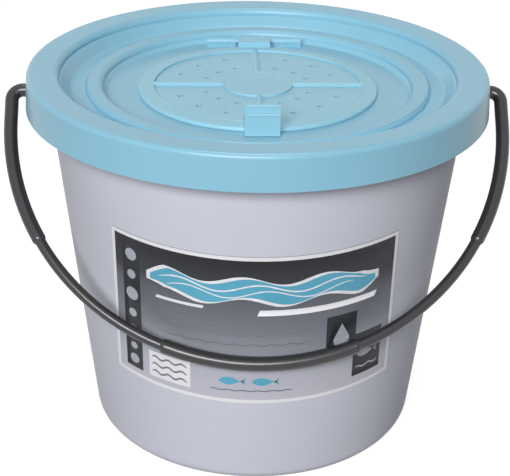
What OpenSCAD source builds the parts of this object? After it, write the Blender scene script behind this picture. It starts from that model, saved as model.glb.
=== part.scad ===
/* [Bucket] */
// Height of the rim top above the ground
bucket_h = 233.7; // [200:0.1:300]
// Outer radius of the wall where it meets the ground plane
base_r = 105.2; // [85:0.1:110]
// Outer radius of the wall at the rim
mouth_r = 130.4; // [126:0.1:133]
// Thickness of the plastic wall
wall = 2.2; // [1.5:0.1:3]
// Thickness of the bottom
bottom_t = 2.6; // [2:0.1:4]
// Outer radius of the corner between wall and bottom
base_corner_r = 8.4; // [5:0.1:12]
// Width of the foot ring that stands on the ground
foot_w = 7; // [4:0.1:12]
// Depth of the recess inside the foot ring
foot_h = 1.2; // [0.6:0.1:2]

/* [Rim] */
// How far the turned-down rim stands out past the mouth of the wall
rim_out = 8.3; // [7.5:0.1:9]
// Height of the turned-down rim
rim_h = 18.7; // [17:0.1:24]
// Thickness of the rim
rim_t = 2.2; // [1.5:0.1:3]
// Number of ribs under the rim
rib_count = 24; // [8:4:36]
// Thickness of each rib
rib_t = 1.6; // [1:0.1:3]
// Distance from the lower edge of the rim up to the ribs
rib_up = 5; // [2:0.1:10]

/* [Foam liner] */
// Thickness of the foam
foam_t = 15.9; // [10:0.1:20]
// Gap between the top of the foam and the underside of the lid
foam_gap = 1.1; // [0.5:0.1:20]

/* [Lid] */
// How far the lid stands out past the rim
lid_over = 3.3; // [3:0.1:6]
// Height of the skirt
skirt_h = 21.4; // [20:0.1:28]
// How much wider the skirt is at its lower edge
skirt_flare = 1.2; // [0:0.1:2]
// Thickness of the lid
lid_t = 2.2; // [1.5:0.1:2.5]
// Radius of the rounded top edge
lid_edge_r = 3.2; // [1.5:0.1:4]
// Width of the flat top, from the outer edge to the inner wall
flat_w = 20; // [18:0.1:23]
// How far the flat top falls from its outer edge to its inner edge
flat_fall = 0.5; // [0:0.1:0.8]
// Radius of the rounded inner edge of the flat top
well_fillet = 4; // [2:0.1:4.5]
// Height of the upright stretch under that rounded edge, down to a small step
well_step = 0.5; // [0.2:0.1:1.5]
// Width of the sloped inner wall
slope_w = 7; // [6:0.1:9]
// Width of the groove
groove_w = 8.2; // [6:0.1:10]
// Depth of the raised ring below the top
ring_depth = 8.2; // [7:0.1:9]
// Depth of the groove below the raised ring
groove_fall = 3.7; // [2.5:0.1:4]
// Width of the raised ring
ring_w = 11.6; // [8:0.1:13]
// Depth of the sunk floor below the top
floor_depth = 14.6; // [13:0.1:16]
// Width of the sunk floor around the access opening
floor_w = 29.2; // [28:0.1:34]

/* [Hatch] */
// How far the hatch reaches past the access opening
hatch_lap = 8.4; // [6:0.1:9]
// Thickness of the hatch
hatch_t = 2.7; // [2.4:0.1:3.5]
// Width of the raised rim around the four sunk pockets
hatch_rim = 10; // [8:0.1:14]
// How far that rim falls in a gentle crown towards its edge
hatch_crown = 0.5; // [0:0.1:0.8]
// Radius of the raised hub
hub_r = 21.5; // [15:0.1:28]
// Width of the raised spokes
spoke_w = 3.3; // [2:0.1:6]
// Depth of the pockets
pocket_depth = 1.2; // [0.5:0.1:1.4]
// Radius of each vent hole
vent_r = 1.8; // [1:0.1:2.5]
// Distance from the hub out to the inner circle of vent holes
vent_in = 12; // [8:0.1:16]
// Distance from the edge of the pockets in to the outer circle of vent holes
vent_out = 13; // [8:0.1:16]
// Angle between neighbouring vent holes
vent_step = 22.5; // [15:0.5:25]
// Depth of the plug ring under the hatch
plug_h = 4; // [2:0.1:8]
// Thickness of the plug ring
plug_t = 2; // [1.5:0.1:3]
// Gap between the plug ring and the access opening
plug_gap = 1.5; // [1:0.1:3]

/* [Latch] */
// Width of the finger latch
latch_w = 20.4; // [14:0.1:28]
// How far the latch stands out past the hatch
latch_reach = 6.3; // [4:0.1:9]
// Thickness of the latch plate
latch_t = 4.6; // [3:0.1:6]
// Height of the latch plate above the sunk floor
latch_h = 13.2; // [8:0.1:16]
// Height of the lip on top of the plate
lip_h = 4.6; // [2:0.1:6]
// Thickness of the lip
lip_t = 2.4; // [1.5:0.1:2.6]
// Length of the two gussets behind the plate
gusset_len = 12; // [6:0.1:14]
// Thickness of the gussets
gusset_t = 2; // [1.5:0.1:3]

/* [Hinge] */
// Distance of the hinge pin behind the edge of the hatch
hinge_back = 7.6; // [5:0.1:10]
// Radius of the hinge pin
pin_r = 1.5; // [1.2:0.05:1.8]
// Length of the hinge pin
pin_len = 49; // [44:0.5:52]
// Width of the knuckle on the hatch
knuckle_w = 21; // [16:0.1:30]
// Outer radius of the knuckle
knuckle_r = 3.1; // [2.5:0.05:3.3]
// Width of each lug on the lid
lug_w = 19; // [14:0.1:21]
// Depth of the blind bore in each lug
lug_bore = 12.4; // [6:0.1:13.6]
// Thickness of each lug around the pin
lug_wall = 0.9; // [0.8:0.1:1.6]

/* [Bail] */
// Distance from the foot of the skirt out to the middle of the handle's legs
leg_out = 8.7; // [7:0.1:16]
// Length of the straight legs between pivot and half circle
leg_len = 21.5; // [20:0.1:40]
// Depth of the pivot below the top of the lid
pivot_depth = 16.7; // [16.2:0.1:17]
// Radius of the bend at each end of the handle
bend_r = 6.5; // [5:0.1:8]
// Radius of the thin stretches
rod_r = 3.3; // [3:0.05:3.6]
// Radius of the thick ends
end_r = 4.2; // [3.8:0.05:4.3]
// Radius of the middle grip
grip_r = 4.4; // [4:0.05:5]
// Half angle of the middle grip
grip_angle = 21.5; // [15:0.5:45]
// Angle that each thick end covers on the half circle
end_angle = 29.5; // [20:0.5:40]
// Radius of the journals that turn in the ears
journal_r = 3.1; // [2.5:0.05:3.2]
// Radius of the heads behind the ears
head_r = 4.6; // [4:0.05:4.8]
// Thickness of the heads
head_t = 2.4; // [2:0.1:2.8]
// Width of each ear on the rim
ear_w = 17; // [14:0.1:24]

/* [Label] */
// Width of the label along the wall
label_w = 185; // [120:0.5:200]
// Height of the label along the wall
label_h = 104.5; // [60:0.5:120]
// Height of the lower edge of the label above the ground
label_z = 62.2; // [50:0.1:80]
// Angle that the label is turned from the front towards the left
label_turn = 2.2; // [-10:0.1:10]
// Thickness of the label
label_t = 0.25; // [0.15:0.05:0.5]

/* [Fits] */
// Gap between the lid and the bucket, and between nested pieces
gap = 0.3; // [0.2:0.05:0.5]
// Radial running clearance of the hinge pin and of the handle journals
run_gap = 0.1; // [0.05:0.01:0.1]
// Gap between the label and the wall
glue_gap = 0.05; // [0.02:0.01:0.1]
// Clearance around the handle in the skirt notches
notch_gap = 1.3; // [0.8:0.1:1.4]
// Sideways clearance of the knuckle and the ears
side_gap = 0.4; // [0.3:0.05:0.8]

/* [Hidden] */
$fn = 160;

// Radii, each stepped from the one outside it
rim_r = mouth_r + rim_out;
lid_r = rim_r + lid_over;
well_r = lid_r - flat_w;
groove_r = well_r - slope_w;
ring_r = groove_r - groove_w;
floor_r = ring_r - ring_w;
access_r = floor_r - floor_w;
hatch_r = access_r + hatch_lap;
pocket_r = hatch_r - hatch_rim;
hinge_y = hatch_r + hinge_back;
bail_r = lid_r + skirt_flare + leg_out;

// Slope of the bucket wall and the height of the lid top
slope = (mouth_r - base_r) / bucket_h;
taper = atan(slope);
lid_top = bucket_h + gap + lid_t;
pivot_z = lid_top - pivot_depth;
groove_depth = ring_depth + groove_fall;
function wall_r(z) = base_r + slope * z;

// Underside of the hatch and axis of its hinge
floor_z = lid_top - floor_depth;
hatch_z = floor_z + gap;
hatch_top = hatch_z + hatch_t;
hinge_z = hatch_z + knuckle_r;
lug_x = pin_len / 2 + side_gap - lug_bore + lug_w / 2;

// Fillets and steps of the lid and the bead inside its skirt
ring_foot = 0.6;
ring_fillet = groove_fall - 0.2;
floor_fillet = 4;
draft = 1.8;
bead_h = 2;
bead_in = rim_r + gap + 0.1;
step_w = 1.2;
under = 0.8;
well_top = lid_top - flat_fall;
step_z = well_top - well_fillet - well_step;
skirt_z = lid_top - skirt_h;

// Journals of the handle: shoulder outside the ear, head inside it
ear_t = 4.5;
ear_in = rim_r - ear_t;
shoulder_x = rim_r + side_gap;
head_x = ear_in - side_gap;
rim_low = bucket_h - rim_h;

// Small overlap where the parts of one moulding join
join = 0.5;

// Points of a quarter round, from one angle to another
function arc(cx, cz, r, from, to, steps = 8) =
    [for (i = [0:steps]) let (a = from + (to - from) * i / steps) [cx + r * cos(a), cz + r * sin(a)]];

// Outer profile of the wall, from the middle of the base up to a height
function cup(r0, z0, corner, z1) = concat(
    [[0, z0]],
    arc(r0 + slope * (z0 + corner) - corner / cos(taper), z0 + corner, corner, -90, -taper),
    [[r0 + slope * z1, z1], [0, z1]]);

// Pail with its turned-down rim, foot ring, ribs and ears
module bucket() {
    inner_r = base_r - wall / cos(taper);
    color("#c3c4d0")
    difference() {
        union() {
            difference() {
                rotate_extrude() polygon(cup(base_r, 0, base_corner_r, bucket_h));
                rotate_extrude()
                    polygon(cup(inner_r, bottom_t, base_corner_r - wall, bucket_h + 1));
                translate([0, 0, -1])
                    cylinder(r = base_r - base_corner_r - foot_w, h = foot_h + 1);
            }
            rim();
            ribs();
            for (side = [0, 180]) rotate(side) ear();
        }
        for (side = [-1, 1]) translate([side * rim_r, 0, pivot_z]) rotate([0, 90, 0])
            cylinder(r = journal_r + run_gap, h = 4 * ear_t, center = true);
    }
}

// Flange and turned-down lip around the mouth
module rim() {
    edge = 1.5;
    low_r = wall_r(bucket_h - rim_t) - join;
    rotate_extrude() polygon(concat(
        [[low_r, bucket_h - rim_t], [rim_r - rim_t, bucket_h - rim_t],
         [rim_r - rim_t, rim_low], [rim_r, rim_low]],
        arc(rim_r - edge, bucket_h - edge, edge, 0, 90),
        [[low_r, bucket_h]]));
}

// Stiffening ribs between the wall and the lip, left out where the ears are
module ribs() {
    step = 360 / rib_count;
    low = rim_low + rib_up;
    in_r = wall_r(low) - join;
    clear = asin((ear_w / 2 + rib_t) / rim_r);
    for (i = [0:rib_count - 1]) let (turn = (i + 0.5) * step) if (abs(sin(turn)) > sin(clear))
        rotate(turn) translate([in_r, -rib_t / 2, low])
            cube([rim_r - rim_t / 2 - in_r, rib_t, bucket_h - rim_t / 2 - low]);
}

// Thickened stretch of the lip that carries one end of the handle
module ear() {
    intersection() {
        translate([ear_in, -ear_w / 2, rim_low])
            cube([ear_t, ear_w, rim_h - rim_t / 2]);
        cylinder(r = rim_r - rim_t / 2, h = bucket_h);
    }
}

// Foam cup that stands on the bottom of the bucket
module foam_liner() {
    out_r = base_r - (wall + gap) / cos(taper);
    in_r = out_r - foam_t / cos(taper);
    low = bottom_t + gap;
    top = lid_top - groove_depth - lid_t - foam_gap;
    color("#f2f1ec")
    difference() {
        rotate_extrude() polygon(cup(out_r, low, base_corner_r - wall, top));
        rotate_extrude() polygon(cup(in_r, low + foam_t, base_corner_r, top + 1));
    }
}

// Upper face of the lid as points from the skirt inwards to the access opening
function lid_face() = concat(
    arc(lid_r - lid_edge_r, lid_top - lid_edge_r, lid_edge_r, 0, 90),
    arc(well_r + well_fillet, well_top - well_fillet, well_fillet, 90, 180),
    [[well_r, step_z], [well_r - step_w, step_z - 0.3],
     [groove_r + 1, lid_top - groove_depth + 1], [groove_r - 0.4, lid_top - groove_depth],
     [ring_r + ring_foot, lid_top - groove_depth]],
    arc(ring_r - ring_fillet, lid_top - ring_depth - ring_fillet, ring_fillet, 0, 90),
    arc(floor_r + floor_fillet, lid_top - ring_depth - floor_fillet, floor_fillet, 90, 180),
    [[floor_r - draft, floor_z + 0.6], [floor_r - draft - 0.6, floor_z], [access_r, floor_z]]);

// Underside of the lid, from the access opening back out to the skirt
function lid_under() = [
    [access_r, floor_z - lid_t],
    [floor_r - draft + lid_t, floor_z - lid_t],
    [floor_r + lid_t, lid_top - groove_depth - lid_t],
    [groove_r + lid_t - under, lid_top - groove_depth - lid_t],
    [well_r + lid_t - under / 2, step_z - under],
    [well_r + lid_t, well_top - well_fillet],
    [well_r + well_fillet, well_top - lid_t],
    [well_r + well_fillet + under, lid_top - lid_t],
    [lid_r - lid_t, lid_top - lid_t],
    [lid_r + skirt_flare - lid_t, skirt_z + 2 * bead_h],
    [bead_in, skirt_z + bead_h],
    [bead_in, skirt_z + bead_h / 2],
    [bead_in + 0.6, skirt_z],
    [lid_r + skirt_flare, skirt_z]];

// Lid with its lugs for the hinge pin and its notches for the handle
module lid() {
    notch_r = end_r + notch_gap;
    color("#92c3d6")
    difference() {
        union() {
            rotate_extrude() polygon(concat(lid_face(), lid_under()));
            for (side = [-1, 1]) translate([side * lug_x, 0, 0]) lug();
        }
        for (side = [-1, 1]) translate([side * lid_r, 0, pivot_z]) {
            rotate([0, 90, 0]) cylinder(r = notch_r, h = 6 * lid_t, center = true);
            translate([-3 * lid_t, -notch_r, -skirt_h]) cube([6 * lid_t, 2 * notch_r, skirt_h]);
        }
        translate([0, hinge_y, hinge_z]) rotate([0, 90, 0])
            cylinder(r = pin_r, h = pin_len + 2 * side_gap, center = true);
    }
}

// Lug on the sunk floor that holds one end of the hinge pin
module lug() {
    lug_r = pin_r + lug_wall;
    translate([-lug_w / 2, hinge_y, 0]) {
        translate([0, 0, hinge_z]) rotate([0, 90, 0]) cylinder(r = lug_r, h = lug_w);
        translate([0, -lug_r, floor_z - join]) cube([lug_w, 2 * lug_r, hinge_z - floor_z + join]);
    }
}

// Perforated hatch with plug ring, latch and knuckle
module hatch() {
    color("#99c4d4")
    difference() {
        union() {
            hatch_disc();
            plug_ring();
            latch();
            knuckle();
        }
        for (quarter = [0:3]) rotate(90 * quarter) pocket();
        vents();
        translate([0, hinge_y, hinge_z]) rotate([0, 90, 0])
            cylinder(r = pin_r + run_gap, h = 2 * knuckle_w, center = true);
    }
}

// Disc of the hatch with its crowned rim and rounded edge
module hatch_disc() {
    edge = 1.4;
    level_w = 1;
    steps = 4;
    crown_w = hatch_rim - level_w - edge;
    rotate_extrude() polygon(concat(
        [[0, hatch_z], [hatch_r, hatch_z]],
        arc(hatch_r - edge, hatch_top - hatch_crown - edge, edge, 0, 90),
        [for (i = [1:steps]) let (left = 1 - i / steps)
            [pocket_r + level_w + crown_w * left, hatch_top - hatch_crown * left * left]],
        [[0, hatch_top]]));
}

// Ring under the hatch that drops into the access opening
module plug_ring() {
    out_r = access_r - plug_gap;
    difference() {
        translate([0, 0, hatch_z - plug_h]) cylinder(r = out_r, h = plug_h + join);
        translate([0, 0, hatch_z - plug_h - 1]) cylinder(r = out_r - plug_t, h = plug_h + 1);
    }
}

// One sunk quarter of the hatch face, between hub, spokes and rim
module pocket() {
    half = spoke_w / 2;
    translate([0, 0, hatch_top - pocket_depth]) linear_extrude(pocket_depth + 1)
        difference() {
            intersection() {
                circle(r = pocket_r);
                translate([half, half]) square(pocket_r);
            }
            circle(r = hub_r);
        }
}

// Vent holes, three on each of two circles in every quarter
module vents() {
    for (quarter = [0:3], k = [-1, 0, 1], circle_r = [hub_r + vent_in, pocket_r - vent_out])
        rotate(90 * quarter + 45 + k * vent_step)
            translate([circle_r, 0, hatch_z - 1]) cylinder(r = vent_r, h = hatch_t + 2, $fn = 24);
}

// Finger latch: a plate with a set-back lip and two gussets behind it
module latch() {
    front = hatch_r + latch_reach;
    top = hatch_z + latch_h;
    translate([-latch_w / 2, 0, 0]) {
        translate([0, -front, hatch_z]) cube([latch_w, latch_t, latch_h]);
        translate([0, -front + latch_t - lip_t, top - join]) cube([latch_w, lip_t, lip_h + join]);
        translate([0, -front + 1, hatch_z]) cube([latch_w, latch_reach + 4, hatch_t - hatch_crown]);
    }
    plate_h = latch_h - hatch_t;
    for (side = [-1, 1]) translate([side * (latch_w - gusset_t) / 2, -front + latch_t, hatch_top])
        rotate([90, 0, 90]) linear_extrude(gusset_t, center = true)
            polygon([[-join, -2 * join], [gusset_len, -2 * join], [gusset_len, 0],
                [0, plate_h], [-join, plate_h]]);
}

// Knuckle behind the hatch that turns on the pin
module knuckle() {
    front_y = hatch_r - 3;
    translate([-knuckle_w / 2, 0, 0]) {
        translate([0, hinge_y, hinge_z]) rotate([0, 90, 0]) cylinder(r = knuckle_r, h = knuckle_w);
        translate([0, front_y, hatch_z]) cube([knuckle_w, hinge_y - front_y, 2 * knuckle_r]);
    }
}

// Hinge pin, held at both ends in the lugs of the lid
module hatch_pin() {
    color("#92c3d6")
    translate([0, hinge_y, hinge_z]) rotate([0, 90, 0])
        cylinder(r = pin_r, h = pin_len, center = true);
}

// Handle, drawn hanging straight down from its pivot and then leaned on the bucket
module bail() {
    color("#2b2c30")
    translate([0, 0, pivot_z]) rotate([-90 + lean, 0, 0]) bail_flat();
}

// Angle of the handle below the horizontal when it rests on the front of the bucket
reach = bail_r + leg_len;
rest_gap = grip_r + gap + glue_gap + label_t;
lean = lean_angle(0, 90, 30);
function lean_gap(a) = reach * cos(a) - wall_r(pivot_z - reach * sin(a)) - rest_gap / cos(taper);
function lean_angle(low, high, steps) = steps == 0 ? (low + high) / 2
    : lean_gap((low + high) / 2) > 0 ? lean_angle((low + high) / 2, high, steps - 1)
    : lean_angle(low, (low + high) / 2, steps - 1);

// Handle in the plane y = 0 with its pivot at the origin and its arch below
module bail_flat() {
    thin_from = 180 + end_angle;
    thin_to = 270 - grip_angle;
    lap = 1;
    for (side = [0, 1]) mirror([side, 0, 0]) {
        arch(end_r, 180, thin_from);
        shoulder(end_r, thin_from);
        arch(rod_r, thin_from - lap, thin_to + lap);
        shoulder(grip_r, thin_to);
        bail_end();
    }
    arch(grip_r, thin_to, 540 - thin_to);
}

// One stretch of the half circle between two angles
module arch(r, from, to) {
    translate([0, 0, -leg_len]) rotate([90, 0, 0])
        rotate(from) rotate_extrude(angle = to - from) translate([bail_r, 0]) circle(r = r, $fn = 48);
}

// Rounded end of a thick stretch, a hair wider than the stretch itself
module shoulder(r, at) {
    translate([0, 0, -leg_len]) rotate([90, 0, 0])
        rotate(at) translate([bail_r, 0]) sphere(r = r + 0.06, $fn = 48);
}

// Leg, bend, journal and head on the -X side
module bail_end() {
    bend_x = bail_r - bend_r;
    mirror([1, 0, 0]) {
        translate([bail_r, 0, -leg_len]) cylinder(r = end_r, h = leg_len - bend_r, $fn = 48);
        translate([bend_x, 0, -bend_r]) rotate([90, 0, 0])
            rotate_extrude(angle = 90) translate([bend_r, 0]) circle(r = end_r, $fn = 48);
        translate([shoulder_x, 0, 0]) rotate([0, 90, 0])
            cylinder(r = end_r, h = bend_x - shoulder_x, $fn = 48);
        translate([head_x - head_t / 2, 0, 0]) rotate([0, 90, 0])
            cylinder(r = journal_r, h = shoulder_x - head_x + head_t, $fn = 48);
        translate([head_x - head_t, 0, 0]) rotate([0, 90, 0]) cylinder(r = head_r, h = head_t, $fn = 48);
    }
}

// Printed label, a flat sheet wrapped round the front of the wall
module label() {
    mid_z = label_z + label_h * cos(taper) / 2;
    half_angle = label_w / 2 / wall_r(mid_z) * 180 / PI;
    half_x = wall_r(mid_z) * sin(half_angle);
    color("#6d7078")
    intersection() {
        difference() {
            rotate_extrude() wall_band(glue_gap + label_t);
            rotate_extrude() wall_band(glue_gap);
        }
        rotate(-label_turn) translate([0, -wall_r(mid_z), mid_z]) rotate([taper, 0, 0])
            translate([-half_x, -half_x, -label_h / 2]) cube([2 * half_x, 2 * half_x, label_h]);
    }
}

// Half profile of a solid that stands a little proud of the wall
module wall_band(proud) {
    out = proud / cos(taper);
    polygon([[0, 0], [base_r + out, 0], [mouth_r + out, bucket_h], [0, bucket_h]]);
}

bucket();
foam_liner();
lid();
hatch();
hatch_pin();
bail();
label();
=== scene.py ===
"""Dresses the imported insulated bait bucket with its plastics, foam and printed label."""
import math

import bmesh
import bpy
from mathutils import Matrix, Vector


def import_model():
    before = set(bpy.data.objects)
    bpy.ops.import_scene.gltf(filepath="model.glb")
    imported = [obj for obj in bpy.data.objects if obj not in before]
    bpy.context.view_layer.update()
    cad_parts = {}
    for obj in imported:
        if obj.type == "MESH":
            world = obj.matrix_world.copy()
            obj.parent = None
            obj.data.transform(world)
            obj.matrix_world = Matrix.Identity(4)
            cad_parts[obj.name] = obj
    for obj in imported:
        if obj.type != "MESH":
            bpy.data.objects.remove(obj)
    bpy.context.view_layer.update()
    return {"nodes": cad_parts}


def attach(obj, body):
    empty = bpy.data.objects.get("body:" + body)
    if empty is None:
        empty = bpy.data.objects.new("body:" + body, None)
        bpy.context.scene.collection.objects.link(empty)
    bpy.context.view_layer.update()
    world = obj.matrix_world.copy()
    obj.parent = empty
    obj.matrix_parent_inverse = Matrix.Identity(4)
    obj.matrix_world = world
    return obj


MM = 0.001

# Index of refraction of the plastics, the size in millimetres of the clouds in their tone, and how
# far their roughness goes up and down
PLASTIC_IOR = 1.49
CLOUD = 45
UNEVEN = 0.04

# How strongly plain plastic and printed film reflect, as Specular IOR Level
FULL_GLOSS = 0.5
PRINT_GLOSS = 0.25

# The bucket wall and the label on it, in millimetres
WALL_FOOT_R = 105.2
WALL_MOUTH_R = 130.4
BUCKET_H = 233.7
SLOPE = (WALL_MOUTH_R - WALL_FOOT_R) / BUCKET_H
TAPER = math.atan(SLOPE)
LABEL_W = 185
LABEL_H = 104.5
LABEL_LOW = 62.2
LABEL_TURN = 2.2
LABEL_FACE = 0.3
INK = 0.05
BORDER = 2.5
SQUARE = 4
PRINT_DOT = 1.2
PRINT_DEPTH = 0.01
LABEL_MID = LABEL_LOW + LABEL_H * math.cos(TAPER) / 2

# The hatch, its pockets and its latch, in millimetres
HATCH_TOP = 224.6
POCKET_R = 64.4
HUB_R = 21.5
SPOKE_W = 3.3
LATCH_W = 20.4
LATCH_FRONT_Y = -80.7
LATCH_LIP_Y = -78.5
LATCH_LEDGE_Z = 235.1
LATCH_TOP_Z = 239.7

# Radius of the beads that round the edges of the hatch, and how deep they sit, in millimetres
EDGE_R = 0.6
EDGE_IN = 0.5
EDGE_LOW = 0.35
RIDGE_LOW = 1
LATCH_EDGE_R = 0.75
LATCH_EDGE_BACK = 0.55

# The outer shoulder of the lid's raised ring, in millimetres
RING_SHOULDER_R = 104.65
RING_SHOULDER_Z = 227.35
RING_EDGE_R = 0.7

# Where the photograph was taken from, in metres and degrees
CAMERA_AT = (-0.0308, -0.8006, 0.5134)
CAMERA_DOWN = 26.3
CAMERA_TURN = -2.2
CAMERA_ROLL = 1.025
CAMERA_LENS = 96.13
SENSOR = 36

# Where the lamps look and half the side of the floor, in metres, and how far the floor is lifted
# towards white for the camera
LAMP_AIM = (0, 0, 0.12)
FLOOR_HALF = 3
FLOOR_LIFT = 0.89
WORLD_LEVEL = 0.03


def linear(hex_colour):
    """An sRGB hex colour as the linear colour that a socket takes."""
    parts = [int(hex_colour[i:i + 2], 16) / 255 for i in (1, 3, 5)]
    return [c / 12.92 if c <= 0.04045 else ((c + 0.055) / 1.055) ** 2.4 for c in parts] + [1]


def add_node(tree, kind, inputs=None, **settings):
    """Adds a node, sets its settings, and gives each named socket a value or a link."""
    node = tree.nodes.new(kind)
    for name, value in settings.items():
        setattr(node, name, value)
    for socket, value in (inputs or {}).items():
        if isinstance(value, bpy.types.NodeSocket):
            tree.links.new(value, node.inputs[socket])
        else:
            node.inputs[socket].default_value = value
    return node


def new_material(name):
    """An empty node material and its tree."""
    material = bpy.data.materials.new(name)
    material.use_nodes = True
    material.node_tree.nodes.clear()
    return material, material.node_tree


def finish_material(tree, shader):
    """Puts the shader on the surface."""
    add_node(tree, "ShaderNodeOutputMaterial", {"Surface": shader.outputs[0]})


def moulded_plastic(name, pale, deep, roughness, grain_mm, grain_depth_mm, gloss=FULL_GLOSS):
    """Moulded plastic or foam: cloudy shifts between two close tones and a fine surface grain."""
    # The grain of a mould is 0.1 to 0.3 mm across. That is too fine to show, so it is drawn at 0.9
    # to 2.4 mm. The beads of the foam have their own size.
    material, tree = new_material(name)
    place = add_node(tree, "ShaderNodeTexCoord").outputs["Object"]
    cloud = add_node(tree, "ShaderNodeTexNoise",
                     {"Vector": place, "Scale": 1 / (CLOUD * MM), "Detail": 3})
    tone = add_node(tree, "ShaderNodeMix", {"Factor": cloud.outputs["Fac"]}, data_type="RGBA")
    tone.inputs["A"].default_value = linear(pale)
    tone.inputs["B"].default_value = linear(deep)
    grain = add_node(tree, "ShaderNodeTexNoise",
                     {"Vector": place, "Scale": 1 / (grain_mm * MM), "Detail": 2})
    bump = add_node(tree, "ShaderNodeBump",
                    {"Height": grain.outputs["Fac"], "Strength": 0.5,
                     "Distance": grain_depth_mm * MM})
    shine = add_node(tree, "ShaderNodeMapRange", {"Value": grain.outputs["Fac"]})
    shine.inputs["To Min"].default_value = roughness - UNEVEN
    shine.inputs["To Max"].default_value = roughness + UNEVEN
    shader = add_node(tree, "ShaderNodeBsdfPrincipled",
                      {"Base Color": tone.outputs["Result"], "Roughness": shine.outputs["Result"],
                       "IOR": PLASTIC_IOR, "Specular IOR Level": gloss,
                       "Normal": bump.outputs["Normal"]})
    finish_material(tree, shader)
    return material


def paint(node, material):
    """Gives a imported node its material."""
    node.data.materials.clear()
    node.data.materials.append(material)


def label_film():
    """Printed polypropylene film, near black at its top and pale grey at its foot, half glossy."""
    # The dots of the print are about 0.15 mm apart, too fine to show, and are drawn at PRINT_DOT
    material, tree = new_material("printed_label_film")
    place = add_node(tree, "ShaderNodeTexCoord").outputs["Object"]
    height = add_node(tree, "ShaderNodeSeparateXYZ", {"Vector": place}).outputs["Z"]
    share = add_node(tree, "ShaderNodeMapRange", {"Value": height})
    share.inputs["From Min"].default_value = LABEL_LOW * MM
    share.inputs["From Max"].default_value = (LABEL_LOW + LABEL_H) * MM
    ramp = add_node(tree, "ShaderNodeValToRGB", {"Fac": share.outputs["Result"]})
    stops = [(0.0, "#c6c6d2"), (0.2, "#b9bac6"), (0.4, "#92959f"), (0.5, "#7b7e88"),
             (0.7, "#62656e"), (0.8, "#3a3c42"), (0.95, "#222428")]
    for at, _ in stops[2:]:
        ramp.color_ramp.elements.new(at)
    for element, (at, tone) in zip(ramp.color_ramp.elements, stops):
        element.position = at
        element.color = linear(tone)
    dots = add_node(tree, "ShaderNodeTexNoise", {"Vector": place, "Scale": 1 / (PRINT_DOT * MM)})
    bump = add_node(tree, "ShaderNodeBump",
                    {"Height": dots.outputs["Fac"], "Strength": 0.3, "Distance": PRINT_DEPTH * MM})
    shader = add_node(tree, "ShaderNodeBsdfPrincipled",
                      {"Base Color": ramp.outputs["Color"], "Roughness": 0.34, "IOR": PLASTIC_IOR,
                       "Specular IOR Level": PRINT_GLOSS, "Normal": bump.outputs["Normal"]})
    finish_material(tree, shader)
    return material


def ink(name, tone, worn):
    """Printing ink on the film, a little uneven in tone as a cheap print is."""
    return moulded_plastic(name, tone, worn, roughness=0.36, grain_mm=0.9, grain_depth_mm=0.004,
                           gloss=PRINT_GLOSS)


def on_wall(u, v, proud):
    """The place in metres of a point of the label, u along and v up from its middle."""
    mid_r = WALL_FOOT_R + SLOPE * LABEL_MID
    x = mid_r * math.sin(u / mid_r)
    # The depth of the point behind the label's middle settles in a few rounds
    depth = 0
    for _ in range(6):
        z = LABEL_MID + depth * math.sin(TAPER) + v * math.cos(TAPER)
        radius = WALL_FOOT_R + SLOPE * z + proud / math.cos(TAPER)
        y = -math.sqrt(radius ** 2 - x ** 2)
        depth = (y + mid_r + v * math.sin(TAPER)) / math.cos(TAPER)
    turned = Matrix.Rotation(math.radians(-LABEL_TURN), 3, "Z") @ Vector((x, y, z))
    return turned * MM


def printed(name, shapes, material, layer):
    """Flat shapes on the unrolled label, in millimetres, cut into squares and laid on the wall."""
    sheet = bmesh.new()
    for shape in shapes:
        sheet.faces.new([sheet.verts.new((u, v, 0)) for u, v in shape])
    cuts = math.ceil(LABEL_W / 2 / SQUARE)
    for across in ((1, 0, 0), (0, 1, 0)):
        for k in range(-cuts, cuts + 1):
            everything = sheet.verts[:] + sheet.edges[:] + sheet.faces[:]
            bmesh.ops.bisect_plane(sheet, geom=everything, plane_co=Vector(across) * k * SQUARE,
                                   plane_no=across)
    bmesh.ops.triangulate(sheet, faces=sheet.faces[:], ngon_method="EAR_CLIP")
    for vert in sheet.verts:
        vert.co = on_wall(vert.co.x, vert.co.y, LABEL_FACE + layer * INK)
    for face in sheet.faces:
        face.smooth = True
    mesh = bpy.data.meshes.new(name)
    sheet.to_mesh(mesh)
    sheet.free()
    mesh.materials.append(material)
    piece = bpy.data.objects.new(name, mesh)
    bpy.context.scene.collection.objects.link(piece)
    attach(piece, "bucket_body")


def oblong(u0, v0, u1, v1, lean=0):
    """A box whose top is pushed sideways by lean."""
    return [(u0, v0), (u1, v0), (u1 + lean, v1), (u0 + lean, v1)]


def disc(u, v, r):
    """A round spot."""
    steps = 24
    return [(u + r * math.cos(2 * math.pi * i / steps), v + r * math.sin(2 * math.pi * i / steps))
            for i in range(steps)]


def ripple(u0, u1, v, rise, length, thick, ends):
    """A ribbon from u0 to u1 at height v, waving by rise, that thins to a share at its ends."""
    steps = max(12, int((u1 - u0) / 1.5))
    low, high = [], []
    for i in range(steps + 1):
        share = i / steps
        u = u0 + (u1 - u0) * share
        middle = v + rise * math.sin(2 * math.pi * (u - u0) / length)
        half = thick / 2 * min(1, ends + min(share, 1 - share) * 8)
        low.append((u, middle - half))
        high.append((u, middle + half))
    return low + high[::-1]


def minnow(u, v, length):
    """A plain little fish that looks to the left."""
    half = length * 0.17
    nose, waist, tail = u - length / 2, u + length * 0.28, u + length / 2
    steps = 10
    shares = [i / steps for i in range(steps + 1)]
    top = [(nose + (waist - nose) * share, v + half * math.sin(math.pi * share ** 0.8))
           for share in shares]
    under = [(a, 2 * v - b) for a, b in top[1:]][::-1]
    fin = half * 1.05
    return top + [(tail, v + fin), (tail - length * 0.09, v), (tail, v - fin)] + under


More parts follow.
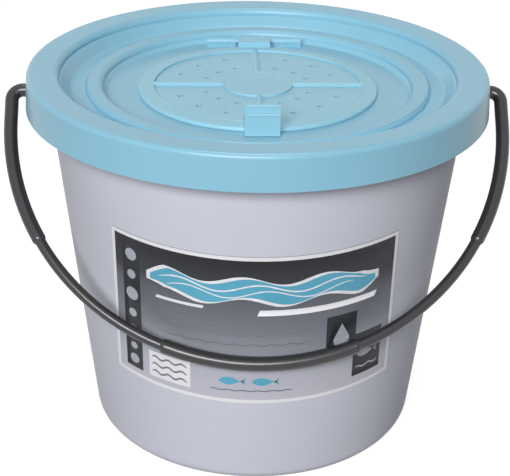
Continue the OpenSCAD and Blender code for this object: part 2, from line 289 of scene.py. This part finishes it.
def drop(u, v, r):
    """A water drop with its point up."""
    round_part = [(u + r * math.cos(a), v + r * math.sin(a))
                  for a in (math.radians(150 + 240 * i / 16) for i in range(17))]
    return round_part + [(u, v + 2.2 * r)]


def print_label():
    """A plain design of waves, bubbles and minnows on the dark-to-pale film."""
    white = ink("white_ink", "#f1f1f5", "#e6e6ec")
    blue = ink("sky_blue_ink", "#67b6d1", "#559fbd")
    dark = ink("charcoal_ink", "#2a2c31", "#25272b")
    grey = ink("grey_ink", "#7f828c", "#777a84")
    pale = ink("pale_grey_ink", "#b4b6c2", "#a9abb8")
    half_w, half_h = LABEL_W / 2, LABEL_H / 2
    in_w, in_h = half_w - BORDER, half_h - BORDER
    printed("label_border", [
        oblong(-half_w, -half_h, half_w, -in_h), oblong(-half_w, in_h, half_w, half_h),
        oblong(-half_w, -in_h, -in_w, in_h), oblong(in_w, -in_h, half_w, in_h)], white, 1)

    printed("wave_outline", [ripple(-66, 78, 28.5, 2.6, 48, 15.4, 0.35)], white, 1)
    printed("wave", [ripple(-63.5, 75.5, 28.5, 2.6, 48, 12.6, 0.3)], blue, 2)
    printed("wave_crests", [ripple(-57, 69, 30.7, 2.6, 48, 1, 0.4),
                            ripple(-52, 60, 26.6, 2.6, 48, 0.8, 0.4)], white, 3)
    printed("white_stripes", [oblong(2, 12, 76, 16, 1.6), oblong(-60, 14.5, -30, 16.5, 0.8)],
            white, 1)

    printed("ripple_lines", [ripple(-58, 34, v, 0.5, 11, 1, 0.5) for v in (5, -2, -9)], grey, 1)

    printed("bubble_strip", [oblong(-84, -46, -71, 46)], dark, 1)
    rising = ((38, 4.2), (24, 3.2), (10, 4.6), (-4, 3), (-17, 4), (-29, 2.6), (-39, 3.6))
    printed("bubbles", [disc(-77.5, v, r) for v, r in rising], pale, 2)

    printed("picture_grounds", [oblong(44, -22, 64, 6), oblong(63, -44, 84, -12)], dark, 1)
    printed("picture_shapes", [drop(54, -12, 5.2), minnow(73.5, -28, 16),
                               ripple(65, 82, -38, 0.7, 8, 1.2, 0.25)], pale, 2)
    printed("foot_panel", [oblong(-66, -46, -38, -27)], white, 1)
    printed("foot_panel_ripples", [ripple(-64, -40, v, 1, 9, 1.5, 0.4) for v in (-31, -36.5, -42)],
            grey, 2)
    printed("foot_minnows", [minnow(-12, -36, 17), minnow(8, -36, 17)], blue, 1)
    printed("foot_lines", [ripple(-26, 24, -43, 0.3, 9, 0.9, 0.6)], grey, 1)


def soft_edge(name, points, radius, body, material, closed=False):
    """A round bead along points in millimetres, the rounded edge that the mould leaves."""
    line = bpy.data.curves.new(name, "CURVE")
    line.dimensions = "3D"
    line.bevel_depth = radius * MM
    line.bevel_resolution = 6
    line.use_fill_caps = True
    spline = line.splines.new("POLY")
    spline.points.add(len(points) - 1)
    for point, at in zip(spline.points, points):
        point.co = [c * MM for c in at] + [1]
    spline.use_cyclic_u = closed
    line.materials.append(material)
    piece = bpy.data.objects.new(name, line)
    bpy.context.scene.collection.objects.link(piece)
    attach(piece, body)


def arc_points(radius, z, start, end, steps=32):
    """Points of an arc about the axis of the bucket, angles in degrees."""
    turns = [math.radians(start + (end - start) * i / steps) for i in range(steps + 1)]
    return [(radius * math.cos(t), radius * math.sin(t), z) for t in turns]


def soften_hatch(material):
    """Rounded edges of the pockets, ridged spokes and the eased edges of the latch."""
    low = HATCH_TOP - EDGE_LOW
    out_r, in_r = POCKET_R + EDGE_IN, HUB_R - EDGE_IN
    away = math.degrees(math.asin(SPOKE_W / 2 / POCKET_R))
    near = math.degrees(math.asin(SPOKE_W / 2 / HUB_R))
    for quarter in range(4):
        start = 90 * quarter
        for name, radius, clear in (("pocket_edge", out_r, away), ("hub_edge", in_r, near)):
            soft_edge(f"{name}_{quarter}",
                      arc_points(radius, low, start + clear, start + 90 - clear),
                      EDGE_R, "hatch_body", material)
        turn = math.radians(start)
        ends = [(r * math.cos(turn), r * math.sin(turn), HATCH_TOP - RIDGE_LOW)
                for r in (in_r, out_r + EDGE_IN)]
        soft_edge(f"spoke_ridge_{quarter}", ends, SPOKE_W / 2, "hatch_body", material)
    half = LATCH_W / 2 - EDGE_R
    for name, front, top in (("latch_ledge_edge", LATCH_FRONT_Y, LATCH_LEDGE_Z),
                             ("latch_lip_edge", LATCH_LIP_Y, LATCH_TOP_Z)):
        y, z = front + LATCH_EDGE_BACK, top - EDGE_IN
        soft_edge(name, [(-half, y, z), (half, y, z)], LATCH_EDGE_R, "hatch_body", material)


def soften_lid(material):
    """The crisp outer shoulder of the raised ring, which catches the light."""
    soft_edge("ring_shoulder", arc_points(RING_SHOULDER_R, RING_SHOULDER_Z, 0, 360, 180)[:-1],
              RING_EDGE_R, "lid_body", material, closed=True)


def add_camera():
    """The camera at the photograph's place."""
    data = bpy.data.cameras.new("camera")
    data.lens = CAMERA_LENS
    data.sensor_width = SENSOR
    data.clip_start = 0.05
    camera = bpy.data.objects.new("camera", data)
    turn = Matrix.Rotation(math.radians(CAMERA_TURN), 4, "Z")
    tilt = Matrix.Rotation(math.radians(90 - CAMERA_DOWN), 4, "X")
    roll = Matrix.Rotation(math.radians(CAMERA_ROLL), 4, "Z")
    camera.matrix_world = Matrix.Translation(CAMERA_AT) @ turn @ tilt @ roll
    bpy.context.scene.collection.objects.link(camera)
    bpy.context.scene.camera = camera


def add_lamp(name, azimuth, elevation, distance, size, power, glint=True):
    """A soft box of width by height that looks at the object from a compass angle and a height."""
    data = bpy.data.lights.new(name, "AREA")
    data.shape = "RECTANGLE"
    data.size, data.size_y = size
    data.energy = power
    lamp = bpy.data.objects.new(name, data)
    lamp.visible_glossy = glint
    a, e = math.radians(azimuth), math.radians(elevation)
    way = Vector((math.sin(a) * math.cos(e), -math.cos(a) * math.cos(e), math.sin(e)))
    lamp.location = Vector(LAMP_AIM) + distance * way
    lamp.rotation_euler = way.to_track_quat("Z", "Y").to_euler()
    bpy.context.scene.collection.objects.link(lamp)


def add_world(level):
    """Even light all round, with white behind the object for the camera and for reflections."""
    world = bpy.data.worlds.new("studio")
    world.use_nodes = True
    bpy.context.scene.world = world
    tree = world.node_tree
    tree.nodes.clear()
    rays = add_node(tree, "ShaderNodeLightPath").outputs
    clear = add_node(tree, "ShaderNodeMath",
                     {0: rays["Is Camera Ray"], 1: rays["Is Transmission Ray"]},
                     operation="MAXIMUM")
    seen = add_node(tree, "ShaderNodeMath", {0: clear.outputs[0], 1: rays["Is Glossy Ray"]},
                    operation="MAXIMUM")
    light = add_node(tree, "ShaderNodeBackground", {"Color": (1, 1, 1, 1), "Strength": level})
    white = add_node(tree, "ShaderNodeBackground", {"Color": (1, 1, 1, 1), "Strength": 1})
    mix = add_node(tree, "ShaderNodeMixShader",
                   {0: seen.outputs[0], 1: light.outputs[0], 2: white.outputs[0]})
    add_node(tree, "ShaderNodeOutputWorld", {"Surface": mix.outputs[0]})


def add_floor():
    """A pale floor that takes the object's shadow and reads as white where it is lit."""
    mesh = bpy.data.meshes.new("floor")
    corners = [(-FLOOR_HALF, -FLOOR_HALF, 0), (FLOOR_HALF, -FLOOR_HALF, 0),
               (FLOOR_HALF, FLOOR_HALF, 0), (-FLOOR_HALF, FLOOR_HALF, 0)]
    mesh.from_pydata(corners, [], [(0, 1, 2, 3)])
    floor = bpy.data.objects.new("floor", mesh)
    bpy.context.scene.collection.objects.link(floor)
    material, tree = new_material("pale_studio_floor")
    rays = add_node(tree, "ShaderNodeLightPath").outputs
    seen = add_node(tree, "ShaderNodeMath", {0: rays["Is Camera Ray"], 1: rays["Is Glossy Ray"]},
                    operation="MAXIMUM")
    matt = add_node(tree, "ShaderNodeBsdfDiffuse", {"Color": linear("#8c8c8c")})
    lift = add_node(tree, "ShaderNodeEmission", {"Color": (1, 1, 1, 1), "Strength": FLOOR_LIFT})
    sum_up = add_node(tree, "ShaderNodeAddShader", {0: matt.outputs[0], 1: lift.outputs[0]})
    mix = add_node(tree, "ShaderNodeMixShader",
                   {0: seen.outputs[0], 1: matt.outputs[0], 2: sum_up.outputs[0]})
    finish_material(tree, mix)
    mesh.materials.append(material)


def main():
    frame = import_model()
    scene = bpy.context.scene
    scene.view_settings.view_transform = "Standard"
    add_camera()
    add_world(WORLD_LEVEL)
    add_lamp("key", azimuth=-14, elevation=30, distance=4, size=(2.4, 1.4), power=157)
    add_lamp("top", azimuth=180, elevation=82, distance=2.4, size=(0.8, 0.35), power=11)
    for name, side in (("back_left", -150), ("back_right", 150)):
        add_lamp(name, azimuth=side, elevation=18, distance=3, size=(0.9, 0.9), power=15,
                 glint=False)
    add_floor()

    nodes = frame["nodes"]
    # Polypropylene from a polished mould: soft streaks of light on every rounded edge
    lid_plastic = moulded_plastic("sky_blue_polypropylene", "#8dc3d9", "#86bdd4",
                                  roughness=0.3, grain_mm=1.2, grain_depth_mm=0.003, gloss=0.45)
    paint(nodes["lid"], lid_plastic)
    paint(nodes["hatch_pin"], lid_plastic)
    # The same plastic from an etched mould: a fine pebble that breaks up the shine
    hatch_plastic = moulded_plastic("pebbled_blue_polypropylene", "#9acddf", "#93c7da",
                                    roughness=0.38, grain_mm=0.9, grain_depth_mm=0.03, gloss=0.45)
    paint(nodes["hatch"], hatch_plastic)
    # Pail-grade polypropylene: satin, a little cloudy, with hardly a glint
    paint(nodes["bucket"],
          moulded_plastic("lavender_grey_polypropylene", "#d4d5e1", "#cdcfdc",
                          roughness=0.5, grain_mm=1.5, grain_depth_mm=0.01, gloss=0.06))
    # Nylon from a polished mould: near black, with long bright streaks along the rod
    paint(nodes["bail"],
          moulded_plastic("black_gloss_nylon", "#2e2f32", "#2a2b2d",
                          roughness=0.24, grain_mm=2.4, grain_depth_mm=0.001, gloss=0.6))
    # Expanded polystyrene: matt and off-white, dimpled where its 4 mm beads meet
    paint(nodes["foam_liner"],
          moulded_plastic("beaded_polystyrene_foam", "#f1f0ea", "#e9e8e2",
                          roughness=0.8, grain_mm=4, grain_depth_mm=0.3))
    paint(nodes["label"], label_film())
    print_label()
    soften_hatch(hatch_plastic)
    soften_lid(lid_plastic)


main()
